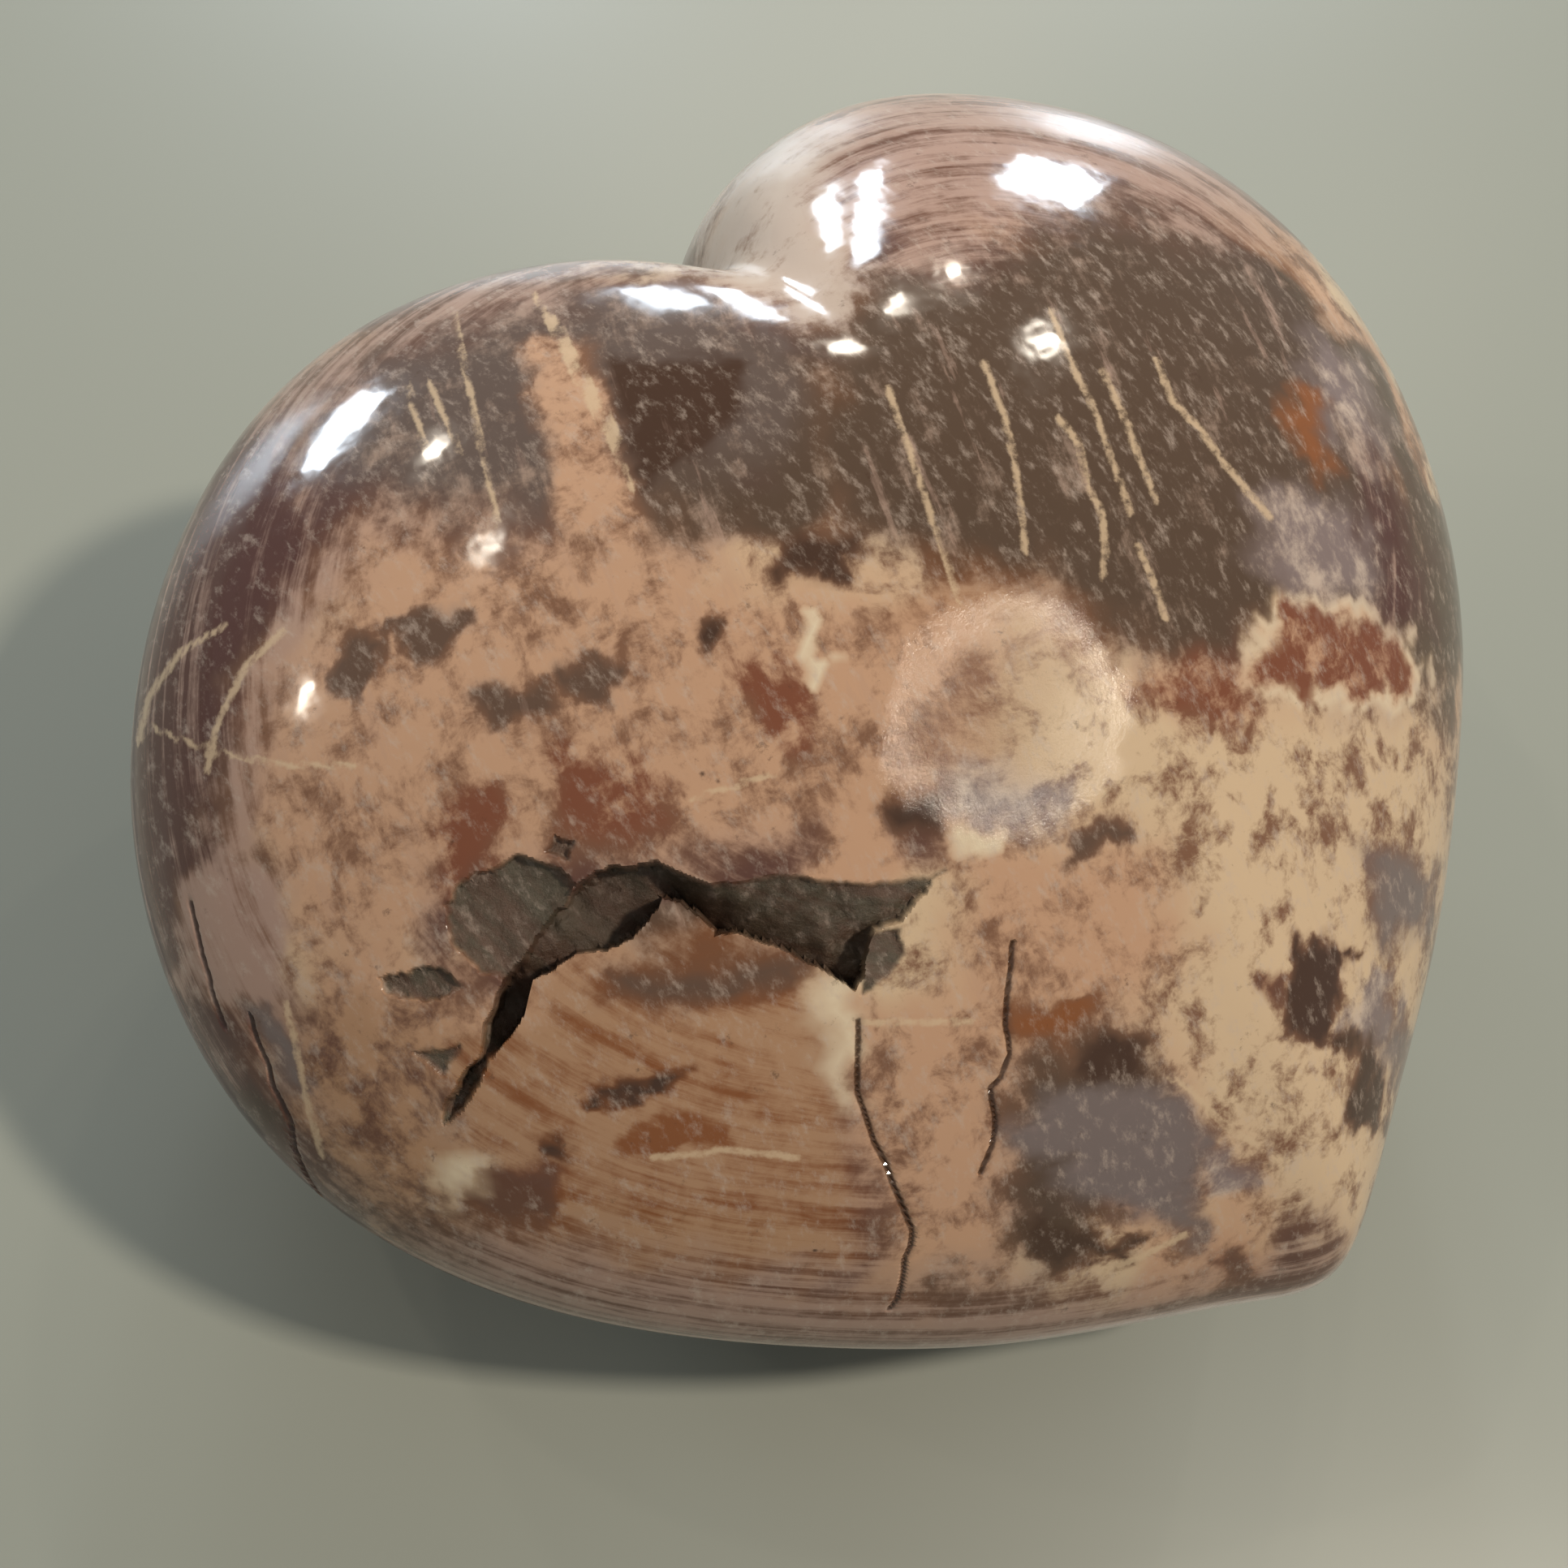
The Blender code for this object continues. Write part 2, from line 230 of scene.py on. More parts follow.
# Markings of the upper face, read off the picture: the kind of stone, how soft the edge is
# and the outline, both in pixels of the picture. Later ones lie over earlier ones.
PATCHES = {
    "left lobe": ("smoke", 24, (
        (330, 480), (480, 400), (600, 350), (760, 335), (880, 335), (960, 400), (1010, 470),
        (960, 560), (800, 600), (770, 640), (640, 650), (520, 640), (440, 600), (330, 580))),
    "right lobe": ("moss", 24, (
        (960, 370), (1060, 320), (1200, 330), (1300, 260), (1420, 230), (1560, 330), (1650, 450),
        (1720, 600), (1760, 740), (1600, 745), (1540, 800), (1480, 840), (1380, 800), (1290, 720),
        (1200, 700), (1100, 690), (1030, 640), (980, 560), (1010, 470))),
    "right lobe top": ("arcs", 26, (
        (940, 180), (1100, 90), (1300, 90), (1500, 160), (1620, 280), (1480, 290), (1340, 250),
        (1250, 290), (1150, 330), (1080, 300), (1000, 300), (960, 260))),
    "left rim": ("arcs", 22, (
        (200, 620), (330, 470), (480, 385), (600, 335), (760, 315), (760, 350), (620, 375),
        (500, 425), (400, 500), (330, 590), (250, 680))),
    "inner flank": ("mist", 20, (
        (840, 330), (880, 220), (960, 150), (1030, 180), (1010, 260), (1060, 340), (1040, 410),
        (960, 380))),
    "left edge": ("plum", 22, (
        (430, 650), (345, 750), (295, 850), (268, 950), (268, 1050), (285, 1180), (330, 1300),
        (400, 1400), (430, 1520), (60, 1500), (60, 800), (230, 560), (300, 500), (370, 590))),
    "left ribbon": ("ribbon", 16, (
        (520, 660), (400, 770), (345, 860), (320, 960), (318, 1060), (345, 1180), (400, 1290),
        (350, 1300), (290, 1180), (270, 1060), (270, 950), (296, 850), (345, 750), (430, 655))),
    "middle": ("peach", 30, (
        (440, 640), (640, 655), (790, 640), (960, 710), (1100, 730), (1230, 760), (1190, 900),
        (1100, 1000), (900, 1060), (700, 1070), (560, 1080), (470, 1130), (400, 1200), (350, 1150),
        (320, 1000), (345, 850), (400, 750))),
    "right side": ("cream", 34, (
        (1250, 780), (1400, 830), (1550, 850), (1760, 860), (1830, 1000), (1780, 1300),
        (1720, 1560), (1580, 1500), (1500, 1400), (1420, 1290), (1300, 1200), (1290, 1100),
        (1230, 1000))),
    "right middle": ("peach", 26, (
        (1180, 1040), (1300, 1020), (1430, 1040), (1470, 1150), (1420, 1240), (1340, 1290),
        (1250, 1300), (1180, 1200))),
    "under the cavity": ("streaks", 24, (
        (560, 1420), (660, 1220), (760, 1160), (900, 1150), (1010, 1200), (1040, 1260),
        (1050, 1420), (1060, 1560), (900, 1580), (700, 1560), (560, 1500))),
    "right of the crack": ("rose", 20, (
        (1070, 1240), (1240, 1200), (1250, 1340), (1230, 1480), (1240, 1580), (1100, 1580),
        (1070, 1450))),
    "bottom edge": ("arcs", 24, (
        (480, 1530), (640, 1520), (900, 1570), (1100, 1590), (1300, 1590), (1500, 1590),
        (1640, 1560), (1640, 1760), (900, 1760), (480, 1640))),
    "lower left": ("tan", 24, (
        (340, 1290), (430, 1200), (540, 1260), (560, 1400), (640, 1440), (560, 1500),
        (480, 1520), (390, 1420))),
    "grey side": ("slate", 10, (
        (1225, 1390), (1312, 1338), (1422, 1334), (1494, 1386), (1477, 1479), (1477, 1541),
        (1422, 1507), (1287, 1458), (1308, 1434), (1229, 1414))),
    "feather group": ("rose", 8, (
        (646, 428), (688, 412), (726, 434), (758, 491), (783, 603), (802, 651), (764, 683),
        (697, 664), (681, 587), (662, 523))),
    "top window": ("umber", 6, (
        (751, 437), (920, 453), (917, 488), (882, 523), (876, 565), (790, 606), (764, 504))),
    "boxed patch rim": ("bright", 4, (
        (1528, 847), (1528, 810), (1546, 795), (1562, 732), (1620, 736), (1732, 772), (1754, 803),
        (1754, 838), (1730, 864), (1635, 868), (1570, 862))),
    "boxed patch": ("rust", 5, (
        (1538, 839), (1538, 817), (1554, 799), (1570, 742), (1615, 746), (1724, 781), (1742, 805),
        (1744, 831), (1724, 852), (1635, 858), (1576, 852))),
    "lobe lavender": ("lilac", 14, (
        (1548, 610), (1620, 600), (1694, 650), (1690, 744), (1600, 735), (1550, 690))),
    "lobe maroon": ("plum", 14, ((1680, 550), (1745, 640), (1762, 775), (1700, 770), (1690, 660))),
    # Partly the stone's pale lavender band and partly a painted reflection: the pale strip along the
    # lobe's edge stands in for a reflection.
    "lobe pale band and painted reflection": ("lilac", 14, (
        (1611, 420), (1670, 440), (1714, 562), (1680, 560), (1620, 500))),
    "lobe orange": ("amber", 8, ((1576, 479), (1625, 490), (1640, 578), (1600, 560))),
    "lobe foot": ("rust", 16, ((1386, 840), (1460, 812), (1540, 830), (1536, 894), (1440, 890))),
    "window below the left lobe": ("window", 4, (
        (486, 771), (577, 752), (586, 774), (561, 790), (521, 809), (502, 818), (483, 790))),
    "window at the left": ("window", 4, (
        (427, 771), (461, 774), (474, 815), (452, 843), (411, 865), (402, 834), (411, 802))),
    "middle window": ("window", 4, (
        (683, 822), (709, 819), (746, 806), (766, 826), (759, 852), (719, 859), (699, 846))),
    "small middle windows": ("window", 5, (
        (567, 860), (600, 842), (640, 850), (683, 832), (680, 870), (643, 885), (600, 899))),
    "dark middle window": ("umber", 4, (
        (862, 753), (892, 756), (898, 773), (895, 789), (878, 806), (858, 799), (852, 779))),
    "upper middle window": ("umber", 7, ((955, 660), (1058, 653), (1055, 716), (960, 712))),
    "mottled red": ("rust", 8, ((912, 812), (1001, 820), (1000, 929), (930, 920))),
    "mottled left": ("rust", 10, ((536, 975), (620, 965), (626, 1068), (560, 1100), (536, 1060))),
    "reddish middle": ("rust", 14, ((686, 915), (825, 930), (820, 1031), (690, 1020))),
    "cream flake": ("bright", 3, (
        (978, 756), (1001, 759), (1008, 779), (1001, 789), (1008, 803), (1028, 806), (1018, 819),
        (1001, 829), (991, 806), (981, 779))),
    "grey below the glint": ("lilac", 12, ((1163, 952), (1310, 960), (1300, 1020), (1170, 1015))),
    "dark below the glint": ("umber", 8, ((1080, 985), (1166, 978), (1160, 1039), (1085, 1030))),
    "second flake": ("bright", 4, ((1179, 1030), (1236, 1023), (1230, 1051), (1182, 1050))),
    "right shape": ("window", 4, (
        (1326, 1029), (1364, 1016), (1402, 1020), (1396, 1035), (1342, 1055), (1322, 1048))),
    "orange middle": ("amber", 8, (
        (1243, 1243), (1303, 1236), (1354, 1224), (1335, 1252), (1310, 1287), (1246, 1275))),
    "dark right drops": ("umber", 6, (
        (1329, 1297), (1367, 1275), (1409, 1280), (1400, 1320), (1340, 1334))),
    "big right blob": ("umber", 5, (
        (1607, 1146), (1638, 1166), (1665, 1184), (1648, 1197), (1655, 1225), (1641, 1290),
        (1593, 1284), (1579, 1266), (1583, 1232), (1596, 1204))),
    "small right blob": ("ember", 5, ((1545, 1200), (1583, 1194), (1580, 1235), (1550, 1230))),
    "lavender right blob": ("lilac", 6, (
        (1686, 1197), (1713, 1197), (1724, 1232), (1717, 1263), (1693, 1277), (1662, 1266))),
    "lower right blobs": ("umber", 6, (
        (1644, 1275), (1689, 1270), (1700, 1348), (1706, 1400), (1660, 1396), (1670, 1311))),
    "right edge shade": ("slate", 12, ((1682, 1046), (1762, 1070), (1762, 1156), (1700, 1163))),
    "right low shade": ("slate", 10, ((1700, 1270), (1737, 1275), (1735, 1332), (1702, 1330))),
    "grey oval": ("lilac", 6, ((1487, 1430), (1515, 1414), (1542, 1430), (1540, 1465), (1500, 1472))),
    "dark red spot": ("ember", 6, ((1500, 1540), (1553, 1534), (1550, 1576), (1490, 1570))),
    "low right window": ("umber", 5, (
        (1250, 1514), (1277, 1507), (1312, 1524), (1401, 1524), (1394, 1541), (1298, 1562))),
    "low right band": ("window", 6, ((1284, 1462), (1332, 1489), (1384, 1503), (1330, 1500))),
    "feathered shade": ("window", 12, (
        (747, 1180), (854, 1185), (997, 1180), (990, 1219), (850, 1234), (750, 1225))),
    "dark low ellipse": ("umber", 4, (
        (719, 1351), (801, 1319), (851, 1316), (819, 1341), (776, 1355), (729, 1359))),
    "orange low patch": ("amber", 5, (
        (804, 1380), (897, 1380), (901, 1401), (840, 1416), (804, 1426), (765, 1416))),
    "low oval": ("umber", 5, ((658, 1420), (690, 1409), (701, 1430), (670, 1437))),
    "dark low band": ("ember", 6, ((604, 1438), (680, 1445), (680, 1508), (621, 1511), (565, 1484))),
    "crack shade": ("slate", 8, ((303, 1226), (340, 1240), (366, 1290), (376, 1345), (345, 1330))),
    "left low shade": ("umber", 10, ((283, 1345), (349, 1350), (349, 1412), (300, 1400))),
    "pale low bands": ("ribbon", 8, ((213, 1080), (356, 1080), (356, 1213), (270, 1229), (225, 1200))),
    "pink patch": ("rose", 12, ((422, 1150), (508, 1140), (508, 1200), (430, 1206))),
    "cream band": ("bright", 12, (
        (1011, 1200), (1058, 1200), (1055, 1290), (1055, 1350), (1040, 1340), (1020, 1290))),
    "cream foot": ("bright", 10, ((538, 1440), (604, 1428), (600, 1470), (545, 1475))),
}
PATCH_WANDER = 24.0
PATCH_SOFTNESS = 2.2

# Pale straight lines in the stone and round pits on its skin, in the same pixels.
PALE_LINES = (
    ((502, 474), (525, 555)),
    ((529, 470), (567, 558)),
    ((559, 386), (613, 646)),
    ((659, 364), (700, 447), (726, 498), (748, 536), (767, 574), (780, 603)),
    ((684, 392), (726, 470), (765, 540)),
    ((1295, 380), (1307, 416), (1319, 447), (1338, 483), (1358, 530), (1374, 578), (1394, 633)),
    ((1358, 455), (1382, 506), (1406, 570), (1425, 617)),
    ((1425, 443), (1445, 495), (1477, 526), (1508, 570), (1540, 609), (1568, 641)),
    ((1303, 514), (1330, 546), (1338, 593), (1358, 633), (1362, 680), (1358, 712)),
    ((1212, 447), (1236, 510), (1251, 570), (1259, 633), (1263, 680)),
    ((1094, 478), (1136, 600), (1182, 742)),
    ((1402, 672), (1421, 716), (1437, 763)),
    ((277, 771), (224, 802), (183, 859), (171, 915)),
    ((349, 777), (305, 818), (280, 865), (264, 905), (255, 952)),
    ((186, 896), (255, 924), (349, 943), (436, 943)),
    ((849, 985), (958, 952)),
    ((352, 1236), (366, 1292), (376, 1345), (396, 1425)),
    ((804, 1426), (854, 1423), (890, 1416), (983, 1426)),
    ((1442, 1328), (1470, 1345), (1494, 1372), (1522, 1396), (1549, 1410)),
    ((1060, 1260), (1200, 1259)),
    ((1353, 1569), (1408, 1548), (1463, 1520)),
)
SKIN_PITS = ((835, 915), (865, 955), (885, 965), (1080, 975), (485, 1043), (530, 1033), (1005, 1540))
PIT_RADIUS = 6.0
PALE_LINE_REACH = 13.0

# The worn spot round the brightest glint, in the same pixels.
WORN_SPOT = (1237, 885)
WORN_RADIUS = 210.0

# The straight lamellae lie square to this direction.
LAMELLA_NORMAL = (0.874, -0.311, 0.372)
LAMELLA_ALONG = (0.335, 0.942, 0.0)
LAMELLA_ACROSS = (-0.350, 0.125, 0.928)


def as_array(vector):
    return np.array(vector, float)


def smooth_rise(value, low, high):
    """0 below low and 1 above high, with a smooth rise between."""
    share = np.clip((value - low) / (high - low), 0.0, 1.0)
    return share * share * (3 - 2 * share)


def grain_at(places, size, seed, octaves=3):
    """Soft natural unevenness from -1 to 1 at each place, its lumps about size wide."""
    shift = Vector((seed * 7.31, seed * 3.17, seed * 5.77))
    scaled = np.asarray(places, float) / size
    values = [noise.fractal(Vector(place) + shift, 0.9, 2.0, octaves) for place in scaled]
    return np.array(values)


# The heart's form

class Outline:
    """Smooth closed curve of radius against bearing, through the OUTLINE radii."""

    def __init__(self):
        bearings = [row[0] for row in OUTLINE]
        right = [row[1] for row in OUTLINE]
        left = [row[2] for row in OUTLINE]
        self.angles = np.array(bearings + [360 - b for b in bearings[-2:0:-1]], float)
        self.radii = np.array(right + left[-2:0:-1]) * MM
        self.spans = np.diff(np.append(self.angles, 360.0))
        self.bends = self.solve_bends()
        self.waves = np.fft.rfft(self.radius(np.arange(360.0)))[: ROUND_WAVES + 1] / 180

    def solve_bends(self):
        """Second derivatives that make the pieces meet smoothly all the way round."""
        count = len(self.angles)
        before = np.roll(self.spans, 1)
        slopes = (np.roll(self.radii, -1) - self.radii) / self.spans
        system = np.diag(2 * (before + self.spans))
        for i in range(count):
            system[i, i - 1] += before[i]
            system[i, (i + 1) % count] += self.spans[i]
        return np.linalg.solve(system, 6 * (slopes - np.roll(slopes, 1)))

    def radius(self, bearing):
        bearing = np.mod(bearing, 360)
        i = np.searchsorted(self.angles, bearing, "right") - 1
        j = (i + 1) % len(self.angles)
        span = self.spans[i]
        past = bearing - self.angles[i]
        left = span - past
        curve = (self.bends[i] * left**3 + self.bends[j] * past**3) / (6 * span)
        start = (self.radii[i] / span - self.bends[i] * span / 6) * left
        end = (self.radii[j] / span - self.bends[j] * span / 6) * past
        return curve + start + end

    def round_radius(self, bearing):
        """The same outline without its point and its cleft, as the dome's top has it."""
        turn = np.radians(bearing)
        total = self.waves[0].real / 2
        for k in range(1, ROUND_WAVES + 1):
            total = total + self.waves[k].real * np.cos(k * turn)
            total = total - self.waves[k].imag * np.sin(k * turn)
        return total


class Form:
    """The polished heart: a point of its skin for each bearing and latitude."""

    def __init__(self, sizes):
        self.sizes = sizes
        self.outline = Outline()
        self.shift = np.zeros(3)
        bearings, latitudes = np.meshgrid(np.arange(0, 360, 2.0), np.arange(-90, 91, 2.0))
        points = self.skin(bearings.ravel(), latitudes.ravel())
        low = points.min(axis=0)
        high = points.max(axis=0)
        floor = low[2] + sizes.flat_depth
        self.shift = -np.array(((low[0] + high[0]) / 2, (low[1] + high[1]) / 2, floor))

    def skin(self, bearing, latitude):
        sizes = self.sizes
        upper = latitude >= 0
        fullness = np.where(upper, sizes.upper_fullness, sizes.lower_fullness)
        height = np.where(upper, sizes.upper_height, -sizes.lower_height)
        turn = np.radians(bearing)
        spread = np.maximum(np.cos(np.radians(latitude)), 0.0) ** (2 / fullness)
        rise = np.abs(np.sin(np.radians(latitude))) ** (2 / fullness)
        thinning = 1 - sizes.point_thinning * spread**2 * np.cos(turn)
        sharp = spread**sizes.cleft_fade
        whole_round = self.outline.round_radius(bearing)
        radius = spread * ((1 - sharp) * whole_round + sharp * self.outline.radius(bearing))
        point = np.stack(
            (radius * np.sin(turn), -radius * np.cos(turn), height * rise * thinning), axis=-1
        )
        return point @ as_array(LEAN.to_matrix()).T + self.shift

    def normal(self, bearing, latitude):
        step = 0.5
        across = self.skin(bearing + step, latitude) - self.skin(bearing - step, latitude)
        up = self.skin(bearing, latitude + step) - self.skin(bearing, latitude - step)
        outward = np.cross(across, up)
        return outward / np.maximum(np.linalg.norm(outward, axis=-1, keepdims=True), 1e-12)


def bearing_and_latitude(directions):
    """Bearing and latitude in degrees of points on the unit sphere."""
    bearing = np.degrees(np.arctan2(directions[:, 0], -directions[:, 1]))
    latitude = np.degrees(np.arcsin(np.clip(directions[:, 2], -1, 1)))
    return bearing, latitude


def sphere_direction(bearing, latitude):
    turn = math.radians(bearing)
    rise = math.radians(latitude)
    level = math.cos(rise)
    return np.array((level * math.sin(turn), -level * math.cos(turn), math.sin(rise)))


# Cavity, chips, cracks and pits

class CavityPlane:
    """Millimetres on the plane that touches the skin over the cavity."""

    def __init__(self, form):
        bearing = np.array([float(CAVITY_BEARING)])
        latitude = np.array([float(CAVITY_LATITUDE)])
        self.origin = form.skin(bearing, latitude)[0]
        self.normal = form.normal(bearing, latitude)[0]
        along = np.array((1.0, 0.0, 0.0))
        along = along - self.normal * (along @ self.normal)
        self.along = along / np.linalg.norm(along)
        self.across = np.cross(self.normal, self.along)

    def places(self, points):
        """Place along, place across and height over the plane, in millimetres."""
        away = (points - self.origin) / MM
        return away @ self.along, away @ self.across, away @ self.normal


def inside_by(places, outline):
    """How far inside a closed outline each place lies. It is negative outside."""
    corners = np.array(outline, float)
    nearest = np.full(len(places), np.inf)
    inside = np.zeros(len(places), bool)
    for start, end in zip(corners, np.roll(corners, -1, axis=0)):
        run = end - start
        away = places - start
        share = np.clip((away @ run) / (run @ run), 0, 1)
        nearest = np.minimum(nearest, np.hypot(*(away - share[:, None] * run).T))
        if start[1] != end[1]:
            between = (start[1] > places[:, 1]) != (end[1] > places[:, 1])
            crossing = start[0] + run[0] * away[:, 1] / run[1]
            inside ^= between & (places[:, 0] < crossing)
    return np.where(inside, nearest, -nearest)


def flat_grain(along, across, size, seed, octaves=3):
    places = np.stack((along, across, np.full(len(along), seed * 1.7)), axis=-1)
    return grain_at(places, size, seed, octaves)


def cleavage_steps(along, across):
    """Flat terraces with short risers, as the broken stone splits."""
    wander = flat_grain(along * 0.35, across, 2.5, 5) * 0.8
    level = across / CLEAVAGE_SPACING + wander
    whole = np.floor(level)
    riser = smooth_rise(level - whole, 0.8, 1.0)
    offsets = np.sin(whole * 12.9898) * 0.5 + np.sin(whole * 4.1) * 0.5
    following = np.sin((whole + 1) * 12.9898) * 0.5 + np.sin((whole + 1) * 4.1) * 0.5
    return CLEAVAGE_STEP * (offsets + (following - offsets) * riser)


def carve_cavity(along, across, settings):
    """Depth of the cavity in millimetres, how far it leans under its lower lip, and its mask."""
    rows = np.array(CAVITY_STATIONS)
    upper, lower, upper_depth, lower_depth = (
        np.interp(along, rows[:, 0], rows[:, k]) for k in range(1, 5)
    )
    rag = RIM_RAGGEDNESS * settings.raggedness
    upper = upper + rag * flat_grain(along, across * 0.3, 1.1, 1, 4)
    lower = lower + rag * flat_grain(along, across * 0.3, 1.1, 2, 4)
    gap = np.maximum(upper - lower, 0.01)
    from_upper = upper - across
    from_lower = across - lower
    fall = np.clip(from_upper / gap, 0, 1)
    wall = np.minimum(
        np.clip(from_upper / UPPER_WALL_RUN, 0, 1), np.clip(from_lower / LOWER_WALL_RUN, 0, 1)
    )
    in_reach = (along > rows[0, 0]) & (along < rows[-1, 0])
    wall = np.where(in_reach, wall, 0.0)
    floor = upper_depth + (lower_depth - upper_depth) * fall
    floor = floor + cleavage_steps(along, across) * np.clip(floor, 0, 1)
    floor = floor + FLOOR_ROUGHNESS * flat_grain(along, across, 0.9, 3)
    depth = wall * np.maximum(floor, 0.25) * settings.depth_share
    under = UNDERCUT * wall * np.exp(-np.maximum(from_lower, 0) / UNDERCUT_REACH)
    under = under * smooth_rise(lower_depth, 1.2, 2.4)
    return depth, under, wall


def carve_chips(along, across):
    places = np.stack((along, across), axis=-1)
    ragged = 0.18 * flat_grain(along, across, 0.8, 4, 4)
    depth = np.zeros(len(along))
    mask = np.zeros(len(along))
    for outline, edge, middle in CHIPS.values():
        inside = inside_by(places, outline) + ragged
        rim = np.clip(inside / CHIP_EDGE_RUN, 0, 1)
        sink = np.clip(inside / CHIP_SINK_RUN, 0, 1)
        depth = np.maximum(depth, rim * (edge + (middle - edge) * sink))
        mask = np.maximum(mask, rim)
    uneven = 0.12 * flat_grain(along, across, 1.2, 6)
    return depth + mask * uneven, mask


def route_points(form, route, spacing=3):
    """Points along a route of bearings and latitudes, wandering a little between its corners."""
    corners = np.array(route, float)
    steps = np.linspace(0, len(corners) - 1, (len(corners) - 1) * spacing + 1)
    bearings = np.interp(steps, np.arange(len(corners)), corners[:, 0])
    latitudes = np.interp(steps, np.arange(len(corners)), corners[:, 1])
    seeds = np.stack((bearings, latitudes, steps), axis=-1)
    bearings = bearings + CRACK_RAGGEDNESS * grain_at(seeds, 1.3, 8)
    latitudes = latitudes + CRACK_RAGGEDNESS * grain_at(seeds, 1.3, 9)
    return form.skin(bearings, latitudes)


def distance_to_route(points, route):
    """Distance in millimetres from each point to the nearest stretch of a route of points."""
    nearest = np.full(len(points), np.inf)
    for start, end in zip(route, route[1:]):
        run = end - start
        away = points - start
        share = np.clip((away @ run) / (run @ run), 0, 1)
        nearest = np.minimum(nearest, np.linalg.norm(away - share[:, None] * run, axis=1))
    return nearest / MM


def crack_distance(form, points):
    nearest = np.full(len(points), np.inf)
    for route in CRACKS.values():
        nearest = np.minimum(nearest, distance_to_route(points, route_points(form, route)))
    return nearest


# The heart's mesh

def crowd(directions, share):
    """Moves points of a sphere towards the fine side, where share of their spacing is left."""
    centre = sphere_direction(FINE_BEARING, FINE_LATITUDE)
    facing = directions @ centre
    sideways = directions - facing[:, None] * centre
    length = np.maximum(np.linalg.norm(sideways, axis=1, keepdims=True), 1e-9)
    half_tangent = np.sqrt(np.maximum(1 - facing, 0) / np.maximum(1 + facing, 1e-9)) * share
    moved = (1 - half_tangent**2) / (1 + half_tangent**2)
    away = np.sqrt(np.maximum(1 - moved**2, 0))
    return moved[:, None] * centre + away[:, None] * sideways / length


def read_directions(bm):
    bm.verts.ensure_lookup_table()
    directions = np.array([vert.co for vert in bm.verts], float)
    return directions / np.linalg.norm(directions, axis=1, keepdims=True)


def refine_where(bm, wanted):
    """Halves every edge with both ends wanted, and keeps all faces triangles."""
    edges = [edge for edge in bm.edges if all(wanted[vert.index] for vert in edge.verts)]
    bmesh.ops.subdivide_edges(bm, edges=edges, cuts=1, use_grid_fill=True)
    wide = [face for face in bm.faces if len(face.verts) > 3]
    bmesh.ops.triangulate(bm, faces=wide)
    bm.verts.index_update()


class Carving:
    """The heart's points before and after everything is broken out of it."""

    def __init__(self, form, directions, settings):
        bearing, latitude = bearing_and_latitude(directions)
        self.directions = directions
        self.bearing = bearing
        self.latitude = latitude
        self.skin = form.skin(bearing, latitude)
        self.plane = CavityPlane(form)
        self.along, self.across, self.height = self.plane.places(self.skin)
        self.near_plane = (self.height > -9) & (np.abs(self.along) < 22) & (np.abs(self.across) < 14)
        self.crack_distance = crack_distance(form, self.skin)

    def detail(self):
        """Where the mesh has to be fine: over the cavity and the chips, and along the cracks."""
        rows = np.array(CAVITY_STATIONS)
        upper = np.interp(self.along, rows[:, 0], rows[:, 1]) + 0.7
        lower = np.interp(self.along, rows[:, 0], rows[:, 2]) - 0.7
        cavity = (self.across < upper) & (self.across > lower)
        cavity &= (self.along > rows[0, 0] - 0.7) & (self.along < rows[-1, 0] + 0.7)
        places = np.stack((self.along, self.across), axis=-1)
        chips = np.zeros(len(places), bool)
        for outline, _, _ in CHIPS.values():
            chips |= inside_by(places, outline) > -0.6
        return (self.near_plane & (cavity | chips)) | (self.crack_distance < 0.7)

    def rims(self):
        """Where the mesh has to be finest: along the broken rims."""
        rows = np.array(CAVITY_STATIONS)
        upper = np.interp(self.along, rows[:, 0], rows[:, 1])
        lower = np.interp(self.along, rows[:, 0], rows[:, 2])
        reach = (self.along > rows[0, 0] - 0.2) & (self.along < rows[-1, 0] + 0.2)
        rims = reach & (np.minimum(abs(self.across - upper), abs(self.across - lower)) < RIM_BAND)
        places = np.stack((self.along, self.across), axis=-1)
        for outline, _, _ in CHIPS.values():
            rims |= np.abs(inside_by(places, outline)) < RIM_BAND
        return self.near_plane & rims

    def carve(self, form, settings):
        near = self.near_plane
        along, across = self.along[near], self.across[near]
        cavity, under, wall = carve_cavity(along, across, settings)
        chips, chip_mask = carve_chips(along, across)
        depth = np.zeros(len(self.skin))
        lean = np.zeros(len(self.skin))
        self.broken = np.zeros(len(self.skin))
        self.cavity = np.zeros(len(self.skin))
        depth[near] = np.maximum(cavity, chips)
        lean[near] = under
        self.broken[near] = np.maximum(wall, chip_mask)
        self.cavity[near] = wall
        self.depth = depth
        points = self.skin - self.plane.normal * depth[:, None] * MM
        points = points - self.plane.across * lean[:, None] * MM
        groove = np.clip(1 - self.crack_distance / CRACK_HALF_WIDTH, 0, 1) * CRACK_DEPTH
        groove = groove * (1 - self.broken)
        points = points - form.normal(self.bearing, self.latitude) * groove[:, None] * MM
        points[:, 2] = np.maximum(points[:, 2], 0.0)
        self.points = points


